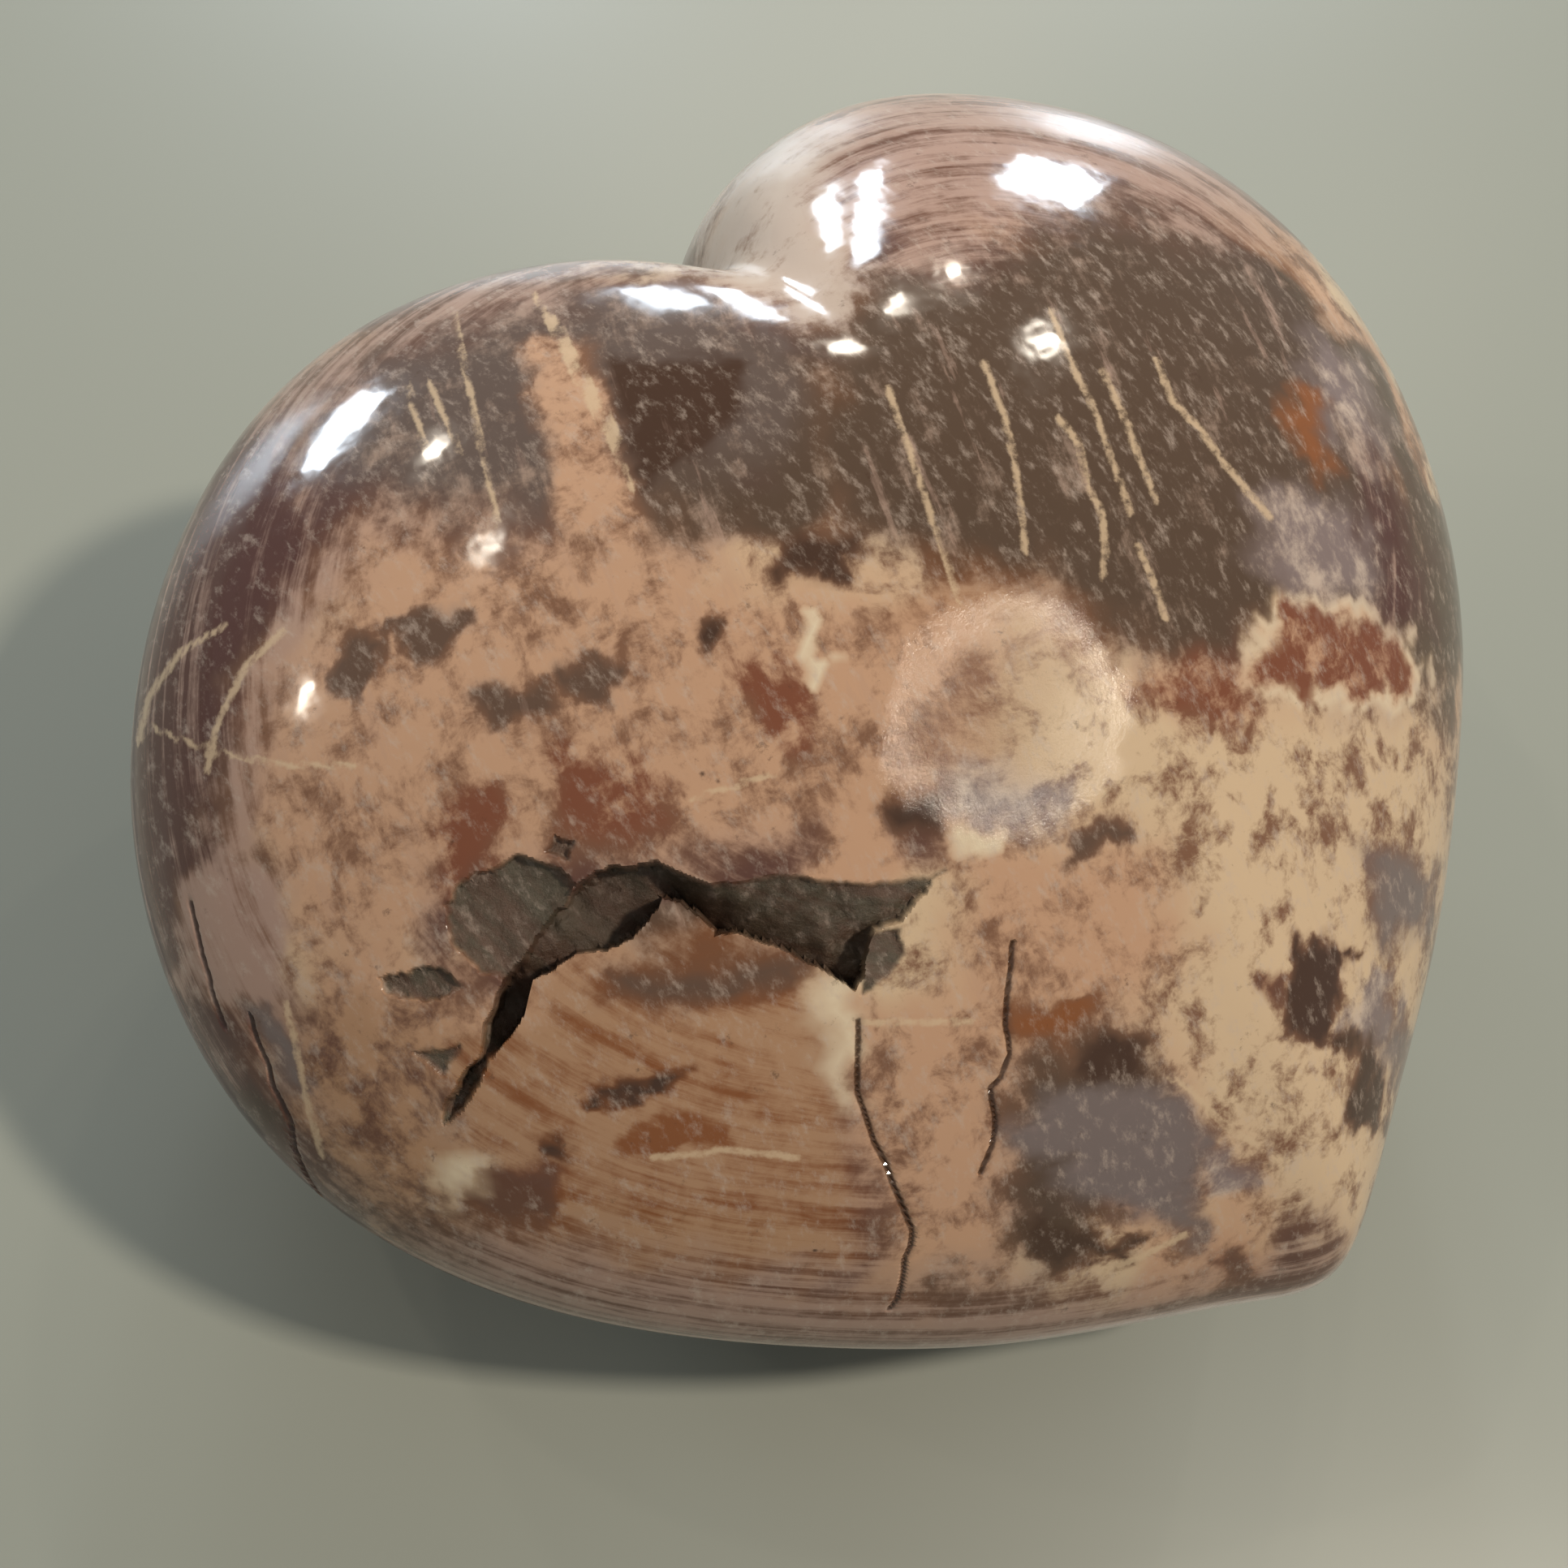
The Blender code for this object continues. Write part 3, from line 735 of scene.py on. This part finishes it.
def carved_mesh(form, sizes, cavity_settings):
    """A mesh of the heart as it is carved and broken, and the carving that it came from."""
    bm = bmesh.new()
    bmesh.ops.create_icosphere(bm, subdivisions=1, radius=1)
    cuts = sizes.skin_cuts - 1
    bmesh.ops.subdivide_edges(bm, edges=bm.edges[:], cuts=cuts, use_grid_fill=True)
    directions = crowd(read_directions(bm), sizes.fine_share)
    for vert, place in zip(bm.verts, directions):
        vert.co = place
    bm.verts.index_update()
    carving = Carving(form, directions, cavity_settings)
    refine_where(bm, carving.detail())
    carving = Carving(form, read_directions(bm), cavity_settings)
    refine_where(bm, carving.rims())
    carving = Carving(form, read_directions(bm), cavity_settings)
    carving.carve(form, cavity_settings)
    mesh = bpy.data.meshes.new("moonstone")
    bm.to_mesh(mesh)
    bm.free()
    mesh.vertices.foreach_set("co", carving.points.astype(np.float32).ravel())
    mesh.update()
    return mesh, carving


# Painting the markings onto the skin

def photo_places(points):
    """Where points in metres fall on the picture, in its pixels."""
    seen = (points - as_array(CAMERA_PLACE)) @ as_array(CAMERA_TURN.to_matrix())
    reach = CAMERA_LENS / CAMERA_SENSOR * PICTURE_SIDE / -seen[:, 2]
    half = PICTURE_SIDE / 2
    return np.stack((half + reach * seen[:, 0], half - reach * seen[:, 1]), axis=-1)


def facing_share(points, normals):
    """1 where the skin faces the camera, 0 where it is turned away."""
    away = as_array(CAMERA_PLACE) - points
    away /= np.linalg.norm(away, axis=1, keepdims=True)
    return smooth_rise(np.sum(away * normals, axis=1), -0.05, 0.12)


def distance_in_picture(places, line):
    nearest = np.full(len(places), np.inf)
    for start, end in zip(np.array(line, float), np.array(line[1:], float)):
        run = end - start
        away = places - start
        share = np.clip((away @ run) / (run @ run), 0, 1)
        nearest = np.minimum(nearest, np.linalg.norm(away - share[:, None] * run, axis=1))
    return nearest


class Painting:
    """Colours and grain of each point of the skin, painted over one another."""

    def __init__(self, carving, form, colours):
        self.points = carving.skin
        self.colours = {name: np.array(getattr(colours, name)) for name in PALETTE}
        count = len(self.points)
        self.milky = np.zeros((count, 4))
        self.clear = np.zeros((count, 4))
        self.grain = np.zeros((count, 4))
        self.lines = np.zeros((count, 4))
        self.facing = facing_share(self.points, form.normal(carving.bearing, carving.latitude))
        lumps = self.points / MM
        wander = np.stack((grain_at(lumps, 2.6, 21, 6), grain_at(lumps, 2.6, 22, 6)), axis=-1)
        self.places = photo_places(self.points) + PATCH_WANDER * wander
        self.paint_all(lumps, carving)

    def cover(self, tone, share):
        milky, clear, milk, lamella, contour = TONES[tone]
        share = share[:, None]
        grain = np.array((lamella, contour, milk, 0.0))
        for layer, value in (
            (self.milky, np.append(self.colours[milky], 1.0)),
            (self.clear, np.append(self.colours[clear], 1.0)),
            (self.grain, grain),
        ):
            layer += (value - layer) * share

    def paint_all(self, lumps, carving):
        everywhere = np.ones(len(lumps))
        self.cover("peach", everywhere)
        for tone, seed in (("cream", 31), ("streaks", 32), ("moss", 33), ("plum", 34)):
            self.cover(tone, smooth_rise(grain_at(lumps, 17, seed), 0.1, 0.3))
        for tone, softness, outline in PATCHES.values():
            reach = softness * PATCH_SOFTNESS
            share = smooth_rise(inside_by(self.places, outline), -reach, reach)
            self.cover(tone, share * self.facing)
        self.cover("cavity", carving.broken)
        steady = photo_places(self.points)
        pale = np.full(len(lumps), np.inf)
        for line in PALE_LINES:
            pale = np.minimum(pale, distance_in_picture(steady, line))
        pits = np.full(len(lumps), np.inf)
        for pit in SKIN_PITS:
            pits = np.minimum(pits, np.linalg.norm(steady - pit, axis=1))
        worn = np.linalg.norm(self.places - WORN_SPOT, axis=1)
        self.lines[:, 0] = np.clip(1 - pale / PALE_LINE_REACH, 0, 1) * self.facing
        self.lines[:, 1] = np.maximum(
            np.clip(1 - carving.crack_distance / 0.34, 0, 1),
            np.clip(1 - pits / PIT_RADIUS, 0, 1) * self.facing,
        )
        self.lines[:, 2] = smooth_rise(-worn, -WORN_RADIUS, 0.0) * self.facing
        self.lines[:, 3] = carving.broken
        # The fourth channel carries the cavity's depth for painted shade: the material darkens the
        # stone the deeper it lies.
        self.grain[:, 3] = np.clip(carving.depth / 3.0, 0, 1)
        turn = np.radians(carving.bearing)
        self.loft = np.stack(
            (6 * np.cos(turn), 6 * np.sin(turn), np.radians(carving.latitude) * 24), axis=-1
        )

    def store(self, mesh):
        for name in ("milky", "clear", "grain", "lines"):
            layer = mesh.attributes.new(name, "FLOAT_COLOR", "POINT")
            layer.data.foreach_set("color", getattr(self, name).astype(np.float32).ravel())
        loft = mesh.attributes.new("loft", "FLOAT_VECTOR", "POINT")
        loft.data.foreach_set("vector", self.loft.astype(np.float32).ravel())


# Materials

class Wiring:
    """Builds a node material: each call adds one node and returns the socket it gives."""

    def __init__(self, name):
        self.material = bpy.data.materials.new(name)
        self.material.use_nodes = True
        self.tree = self.material.node_tree
        self.shader = self.tree.nodes["Principled BSDF"]

    def feed(self, node, values):
        for key, value in values.items():
            if isinstance(value, bpy.types.NodeSocket):
                self.tree.links.new(value, node.inputs[key])
            else:
                node.inputs[key].default_value = value
        return node

    def node(self, kind, **values):
        return self.feed(self.tree.nodes.new(kind), values)

    def attribute(self, name, output="Color"):
        node = self.tree.nodes.new("ShaderNodeAttribute")
        node.attribute_name = name
        return node.outputs[output]

    def parts(self, vector):
        node = self.tree.nodes.new("ShaderNodeSeparateXYZ")
        self.tree.links.new(vector, node.inputs[0])
        return node.outputs

    def maths(self, operation, *values, clamp=False):
        node = self.tree.nodes.new("ShaderNodeMath")
        node.operation = operation
        node.use_clamp = clamp
        self.feed(node, dict(enumerate(values)))
        return node.outputs[0]

    def vector(self, operation, *values, output="Vector"):
        node = self.tree.nodes.new("ShaderNodeVectorMath")
        node.operation = operation
        self.feed(node, dict(enumerate(values)))
        return node.outputs[output]

    def scaled(self, vector, factor):
        node = self.tree.nodes.new("ShaderNodeVectorMath")
        node.operation = "SCALE"
        self.feed(node, {0: vector, "Scale": factor})
        return node.outputs[0]

    def combined(self, x, y, z):
        return self.node("ShaderNodeCombineXYZ", X=x, Y=y, Z=z).outputs[0]

    def noise(self, place, scale, detail=4.0, roughness=0.6, output=0):
        node = self.node(
            "ShaderNodeTexNoise", Vector=place, Scale=scale, Detail=detail, Roughness=roughness
        )
        return node.outputs[output]

    def spread(self, value, low, high, start=0.0, end=1.0):
        node = self.tree.nodes.new("ShaderNodeMapRange")
        node.interpolation_type = "SMOOTHSTEP"
        values = {"Value": value, "From Min": low, "From Max": high, "To Min": start, "To Max": end}
        self.feed(node, values)
        return node.outputs[0]

    def mixed(self, factor, first, second):
        node = self.tree.nodes.new("ShaderNodeMix")
        node.data_type = "FLOAT"
        self.feed(node, {0: factor, 2: first, 3: second})
        return node.outputs[0]

    def blend(self, factor, first, second):
        node = self.tree.nodes.new("ShaderNodeMix")
        node.data_type = "RGBA"
        node.clamp_factor = True
        self.feed(node, {0: factor, 6: first, 7: second})
        return node.outputs[2]

    def bump(self, height, distance, strength=1.0, normal=None):
        node = self.node("ShaderNodeBump", Height=height, Distance=distance, Strength=strength)
        if normal is not None:
            self.tree.links.new(normal, node.inputs["Normal"])
        return node.outputs[0]


def opaque(colour):
    return (*colour, 1.0)


def stone_grain(wires, place, grain):
    """Natural unevenness near 0.5, drawn out along the lamellae and along the outline."""
    lamella, contour = wires.parts(grain)[0:2]
    warp = wires.scaled(wires.noise(place, 0.22, 3.0, 0.55, output="Color"), 2.4)
    warped = wires.vector("ADD", place, warp)
    cloud = wires.noise(warped, 0.34, 8.0, 0.68)
    square, along, across = (
        wires.vector("DOT_PRODUCT", warped if k else place, direction, output="Value")
        for k, direction in enumerate((LAMELLA_NORMAL, LAMELLA_ALONG, LAMELLA_ACROSS))
    )
    sheets = wires.combined(
        square, wires.maths("MULTIPLY", along, 0.12), wires.maths("MULTIPLY", across, 0.2)
    )
    sheet = wires.noise(sheets, 0.9, 6.0, 0.66)
    loft = wires.vector("MULTIPLY", wires.attribute("loft", "Vector"), (0.22, 0.22, 1.0))
    band = wires.noise(wires.vector("ADD", loft, wires.scaled(warp, 0.12)), 1.1, 7.0, 0.66)
    mixed = wires.mixed(wires.maths("MULTIPLY", lamella, 0.6), cloud, sheet)
    return wires.mixed(wires.maths("MULTIPLY", contour, 0.75), mixed, band), sheet


def stone_colour(wires, place, grain, colours):
    milk = wires.parts(grain)[2]
    uneven, sheet = stone_grain(wires, place, grain)
    reach = wires.maths("MULTIPLY_ADD", wires.maths("SUBTRACT", milk, 0.5), 0.5, uneven)
    share = wires.spread(reach, 0.43, 0.60)
    colour = wires.blend(share, wires.attribute("clear"), wires.attribute("milky"))
    fibres = wires.noise(wires.vector("MULTIPLY", place, (1.0, 0.45, 0.6)), 1.5, 8.0, 0.72)
    colour = wires.blend(wires.spread(fibres, 0.50, 0.72, 0.0, 0.5), colour, opaque(colours.mist))
    specks = wires.noise(place, 0.8, 9.0, 0.75)
    colour = wires.blend(wires.spread(specks, 0.40, 0.29, 0.0, 0.55), colour, opaque(colours.umber))
    traces = wires.maths("MULTIPLY", wires.spread(sheet, 0.60, 0.66), wires.parts(grain)[0])
    traces = wires.maths("MULTIPLY", traces, 0.35)
    return wires.blend(traces, colour, opaque(colours.blush))


def polished_stone(colours, finish):
    """Milky and clear feldspar under a high polish, dull where it is broken or worn; painted shade
    darkens the cavity.
    """
    wires = Wiring("polished moonstone")
    texture = wires.tree.nodes.new("ShaderNodeTexCoord")
    place = wires.scaled(texture.outputs["Object"], 1 / MM)
    grain = wires.attribute("grain", "Vector")
    colour = stone_colour(wires, place, grain, colours)
    pale, crack, worn = wires.parts(wires.attribute("lines", "Vector"))[0:3]
    broken = wires.attribute("lines", "Alpha")
    depth = wires.attribute("grain", "Alpha")
    ragged = wires.noise(place, 1.8, 5.0, 0.7)
    line = wires.spread(wires.maths("MULTIPLY_ADD", ragged, 0.9, pale), 0.95, 1.35, 0.0, 0.75)
    colour = wires.blend(line, colour, opaque(colours.cream))
    # Painted shade: the stone is darkened towards dark brown the deeper the cavity goes.
    colour = wires.blend(wires.spread(depth, 0.1, 1.0, 0.0, 0.55), colour, opaque(colours.umber))
    dark = wires.spread(wires.maths("MULTIPLY_ADD", ragged, 0.5, crack), 0.62, 0.95, 0.0, 0.85)
    colour = wires.blend(dark, colour, opaque(colours.umber))
    dull = wires.maths("MAXIMUM", broken, wires.maths("MULTIPLY", worn, 0.75))
    smears = wires.spread(wires.noise(place, 0.5, 6.0, 0.65), 0.35, 0.7, 0.0, 0.06)
    roughness = wires.spread(dull, 0.0, 1.0, finish.polish, finish.broken_roughness)
    roughness = wires.maths("ADD", roughness, smears)
    ripple = wires.maths("MULTIPLY", wires.noise(place, 0.35, 2.0, 0.5), finish.ripple)
    grit = wires.maths("MULTIPLY", wires.noise(place, 4.0, 6.0, 0.7), dull)
    height = wires.maths("MULTIPLY_ADD", grit, finish.grit, ripple)
    normal = wires.bump(height, MM, 1.0)
    wires.feed(wires.shader, {
        "Base Color": colour, "Roughness": roughness, "Normal": normal, "IOR": finish.refraction,
    })
    return wires.material


# Studio

# Lamps: azimuth and elevation in degrees, distance, width and height in metres, colour, radiance.
WARM_LIGHT = (1.0, 0.90, 0.76)
COOL_LIGHT = (0.80, 0.90, 1.0)
LAMPS = {
    "key": (-50, 61, 0.9, 0.07, 0.07, WARM_LIGHT, 300.0),
    "left_window": (98, 11, 0.8, 0.15, 0.09, COOL_LIGHT, 45.0),
    "tall_window": (56, 23, 0.8, 0.05, 0.30, COOL_LIGHT, 30.0),
    "side_window": (64, 20, 0.8, 0.07, 0.22, COOL_LIGHT, 22.0),
    "right_window": (34, 14, 0.8, 0.10, 0.12, COOL_LIGHT, 45.0),
    "small_lamp_1": (100, 34, 0.8, 0.025, 0.025, WARM_LIGHT, 120.0),
    "small_lamp_2": (48, 43, 0.8, 0.025, 0.025, WARM_LIGHT, 120.0),
    "small_lamp_3": (40, 38, 0.8, 0.025, 0.025, WARM_LIGHT, 120.0),
    "small_lamp_4": (113, 52, 0.8, 0.025, 0.025, WARM_LIGHT, 120.0),
    "small_lamp_5": (136, 29, 0.8, 0.025, 0.025, WARM_LIGHT, 120.0),
    "small_lamp_6": (22, 43, 0.8, 0.025, 0.025, WARM_LIGHT, 120.0),
}
FLOOR_HALF = 1.5


def place_lamp(name, azimuth, elevation, distance, width, height, colour, radiance):
    """A rectangular lamp that faces the stone from a direction given in degrees."""
    turn = math.radians(azimuth)
    rise = math.radians(elevation)
    level = math.cos(rise)
    away = Vector((level * math.cos(turn), level * math.sin(turn), math.sin(rise)))
    light = bpy.data.lights.new(name, "AREA")
    light.shape = "RECTANGLE"
    light.size = width
    light.size_y = height
    light.color = colour
    light.energy = radiance * math.pi * width * height
    lamp = bpy.data.objects.new(name, light)
    lamp.location = away * distance
    lamp.rotation_euler = (-away).to_track_quat("-Z", "Y").to_euler()
    bpy.context.scene.collection.objects.link(lamp)
    return lamp


def floor_material(studio):
    wires = Wiring("pale floor")
    wires.feed(wires.shader, {"Base Color": opaque(studio.floor_colour), "Roughness": 0.35})
    return wires.material


def make_floor(studio):
    mesh = bpy.data.meshes.new("floor")
    turns = ((-1, -1), (1, -1), (1, 1), (-1, 1))
    corners = [(FLOOR_HALF * x, FLOOR_HALF * y, 0.0) for x, y in turns]
    mesh.from_pydata(corners, [], [(0, 1, 2, 3)])
    mesh.materials.append(floor_material(studio))
    floor = bpy.data.objects.new("floor", mesh)
    bpy.context.scene.collection.objects.link(floor)
    return floor


def make_world(studio):
    world = bpy.data.worlds.new("studio air")
    world.use_nodes = True
    background = world.node_tree.nodes["Background"]
    background.inputs["Color"].default_value = opaque(studio.air_colour)
    background.inputs["Strength"].default_value = studio.air_strength
    bpy.context.scene.world = world


def make_camera():
    lens = bpy.data.cameras.new("photo camera")
    lens.sensor_fit = "HORIZONTAL"
    lens.sensor_width = CAMERA_SENSOR
    lens.lens = CAMERA_LENS
    lens.clip_start = 0.005
    camera = bpy.data.objects.new("photo camera", lens)
    camera.location = CAMERA_PLACE
    camera.rotation_euler = CAMERA_TURN
    bpy.context.scene.collection.objects.link(camera)
    bpy.context.scene.camera = camera


# Settings

class MoonstoneSizes(bpy.types.PropertyGroup):
    """Sizes of the heart and fineness of its mesh."""

    upper_height: FloatProperty(
        name="Upper Dome", description="Height of the upper face over the widest line",
        default=23.5 * MM, min=5 * MM, subtype="DISTANCE", unit="LENGTH", precision=4,
    )
    lower_height: FloatProperty(
        name="Lower Dome", description="Depth of the back under the widest line",
        default=22.7 * MM, min=5 * MM, subtype="DISTANCE", unit="LENGTH", precision=4,
    )
    upper_fullness: FloatProperty(
        name="Upper Fullness", description="2 is an ellipse and less is leaner",
        default=1.92, min=1.0, max=4.0,
    )
    lower_fullness: FloatProperty(
        name="Lower Fullness", description="2 is an ellipse and less is leaner",
        default=1.83, min=1.0, max=4.0,
    )
    cleft_fade: FloatProperty(
        name="Cleft Fade", description="How fast the cleft and the point fade towards the top",
        default=2.0, min=0.5, max=6.0,
    )
    point_thinning: FloatProperty(
        name="Point Thinning", description="Share of the height lost towards the point",
        default=0.12, min=0.0, max=0.5, subtype="FACTOR",
    )
    flat_depth: FloatProperty(
        name="Flat Depth", description="How much of the back is ground away",
        default=0.8 * MM, min=0.0, subtype="DISTANCE", unit="LENGTH", precision=4,
    )
    skin_cuts: IntProperty(
        name="Skin Fineness", description="Stretches that each long edge of the skin is cut into",
        default=80, min=8, max=90,
    )
    fine_share: FloatProperty(
        name="Fine Side", description="Share of the even spacing that is left on the fine side",
        default=0.68, min=0.3, max=1.0, subtype="FACTOR",
    )


class MoonstoneCavity(bpy.types.PropertyGroup):
    """The open cavity and its ragged rim."""

    depth_share: FloatProperty(
        name="Depth", description="Depth of the cavity against the depth it was found with",
        default=1.0, min=0.2, max=1.5, subtype="FACTOR",
    )
    raggedness: FloatProperty(
        name="Raggedness", description="How ragged the broken rim is",
        default=1.0, min=0.0, max=3.0, subtype="FACTOR",
    )


class MoonstoneFinish(bpy.types.PropertyGroup):
    """Polish of the skin and roughness of the broken stone."""

    polish: FloatProperty(
        name="Polish", description="Roughness of the polished skin",
        default=0.09, min=0.0, max=1.0, subtype="FACTOR",
    )
    broken_roughness: FloatProperty(
        name="Broken Roughness", description="Roughness in the cavity and the chips",
        default=0.42, min=0.0, max=1.0, subtype="FACTOR",
    )
    ripple: FloatProperty(
        name="Ripple", description="Height of the polished skin's slow waves in millimetres",
        default=0.05, min=0.0, max=1.0,
    )
    grit: FloatProperty(
        name="Grit", description="Height of the broken stone's grain in millimetres",
        default=0.12, min=0.0, max=1.0,
    )
    refraction: FloatProperty(
        name="Refraction", description="Index of refraction of feldspar",
        default=1.53, min=1.0, max=2.5,
    )


def colour_property(label, colour):
    return FloatVectorProperty(
        name=label, description=f"{label} of the stone or the studio", default=colour,
        min=0.0, max=1.0, size=3, subtype="COLOR",
    )


class MoonstoneColours(bpy.types.PropertyGroup):
    """Colours that the stone is painted with."""

    __annotations__ = {name: colour_property(*entry) for name, entry in PALETTE.items()}


class MoonstoneStudio(bpy.types.PropertyGroup):
    """Floor and air round the stone."""

    floor_colour: colour_property("Floor", (0.30, 0.31, 0.265))
    air_colour: colour_property("Air", (0.62, 0.66, 0.66))
    air_strength: FloatProperty(
        name="Air Strength", description="Brightness of the light from all round",
        default=0.42, min=0.0, max=5.0,
    )


# Operators

class MOONSTONE_OT_heart(bpy.types.Operator):
    """Carve the heart with its cavity, paint its markings and polish it"""

    bl_idname = "moonstone.heart"
    bl_label = "Moonstone Heart"
    bl_options = {"REGISTER", "UNDO"}

    def execute(self, context):
        scene = context.scene
        form = Form(scene.moonstone_sizes)
        mesh, carving = carved_mesh(form, scene.moonstone_sizes, scene.moonstone_cavity)
        Painting(carving, form, scene.moonstone_colours).store(mesh)
        mesh.materials.append(polished_stone(scene.moonstone_colours, scene.moonstone_finish))
        mesh.shade_smooth()
        mesh.set_sharp_from_angle(angle=math.radians(38))
        heart = bpy.data.objects.new("moonstone", mesh)
        scene.collection.objects.link(heart)
        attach(heart, "root")
        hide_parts(NODE)
        return {"FINISHED"}


class MOONSTONE_OT_studio(bpy.types.Operator):
    """Set the floor, the lamps and the camera"""

    bl_idname = "moonstone.studio"
    bl_label = "Studio"
    bl_options = {"REGISTER", "UNDO"}

    def execute(self, context):
        make_floor(context.scene.moonstone_studio)
        make_world(context.scene.moonstone_studio)
        for name, lamp in LAMPS.items():
            place_lamp(name, *lamp)
        make_camera()
        context.scene.view_settings.view_transform = "Standard"
        return {"FINISHED"}


class MOONSTONE_PT_panel(bpy.types.Panel):
    bl_label = "Moonstone Heart"
    bl_idname = "MOONSTONE_PT_panel"
    bl_space_type = "VIEW_3D"
    bl_region_type = "UI"
    bl_category = "Stone"

    def draw(self, context):
        for group in SETTINGS:
            settings = getattr(context.scene, group)
            box = self.layout.box()
            for name in settings.bl_rna.properties.keys():
                if name not in {"rna_type", "name"}:
                    box.prop(settings, name)
        self.layout.operator(MOONSTONE_OT_heart.bl_idname)
        self.layout.operator(MOONSTONE_OT_studio.bl_idname)


SETTINGS = {
    "moonstone_sizes": MoonstoneSizes,
    "moonstone_cavity": MoonstoneCavity,
    "moonstone_colours": MoonstoneColours,
    "moonstone_finish": MoonstoneFinish,
    "moonstone_studio": MoonstoneStudio,
}
CLASSES = (*SETTINGS.values(), MOONSTONE_OT_heart, MOONSTONE_OT_studio, MOONSTONE_PT_panel)


def register():
    for kind in CLASSES:
        bpy.utils.register_class(kind)
    for name, kind in SETTINGS.items():
        setattr(bpy.types.Scene, name, PointerProperty(type=kind))


def unregister():
    for name in reversed(SETTINGS):
        delattr(bpy.types.Scene, name)
    for kind in reversed(CLASSES):
        bpy.utils.unregister_class(kind)


def main():
    register()
    bpy.ops.moonstone.heart()
    bpy.ops.moonstone.studio()


if __name__ == "__main__":
    main()
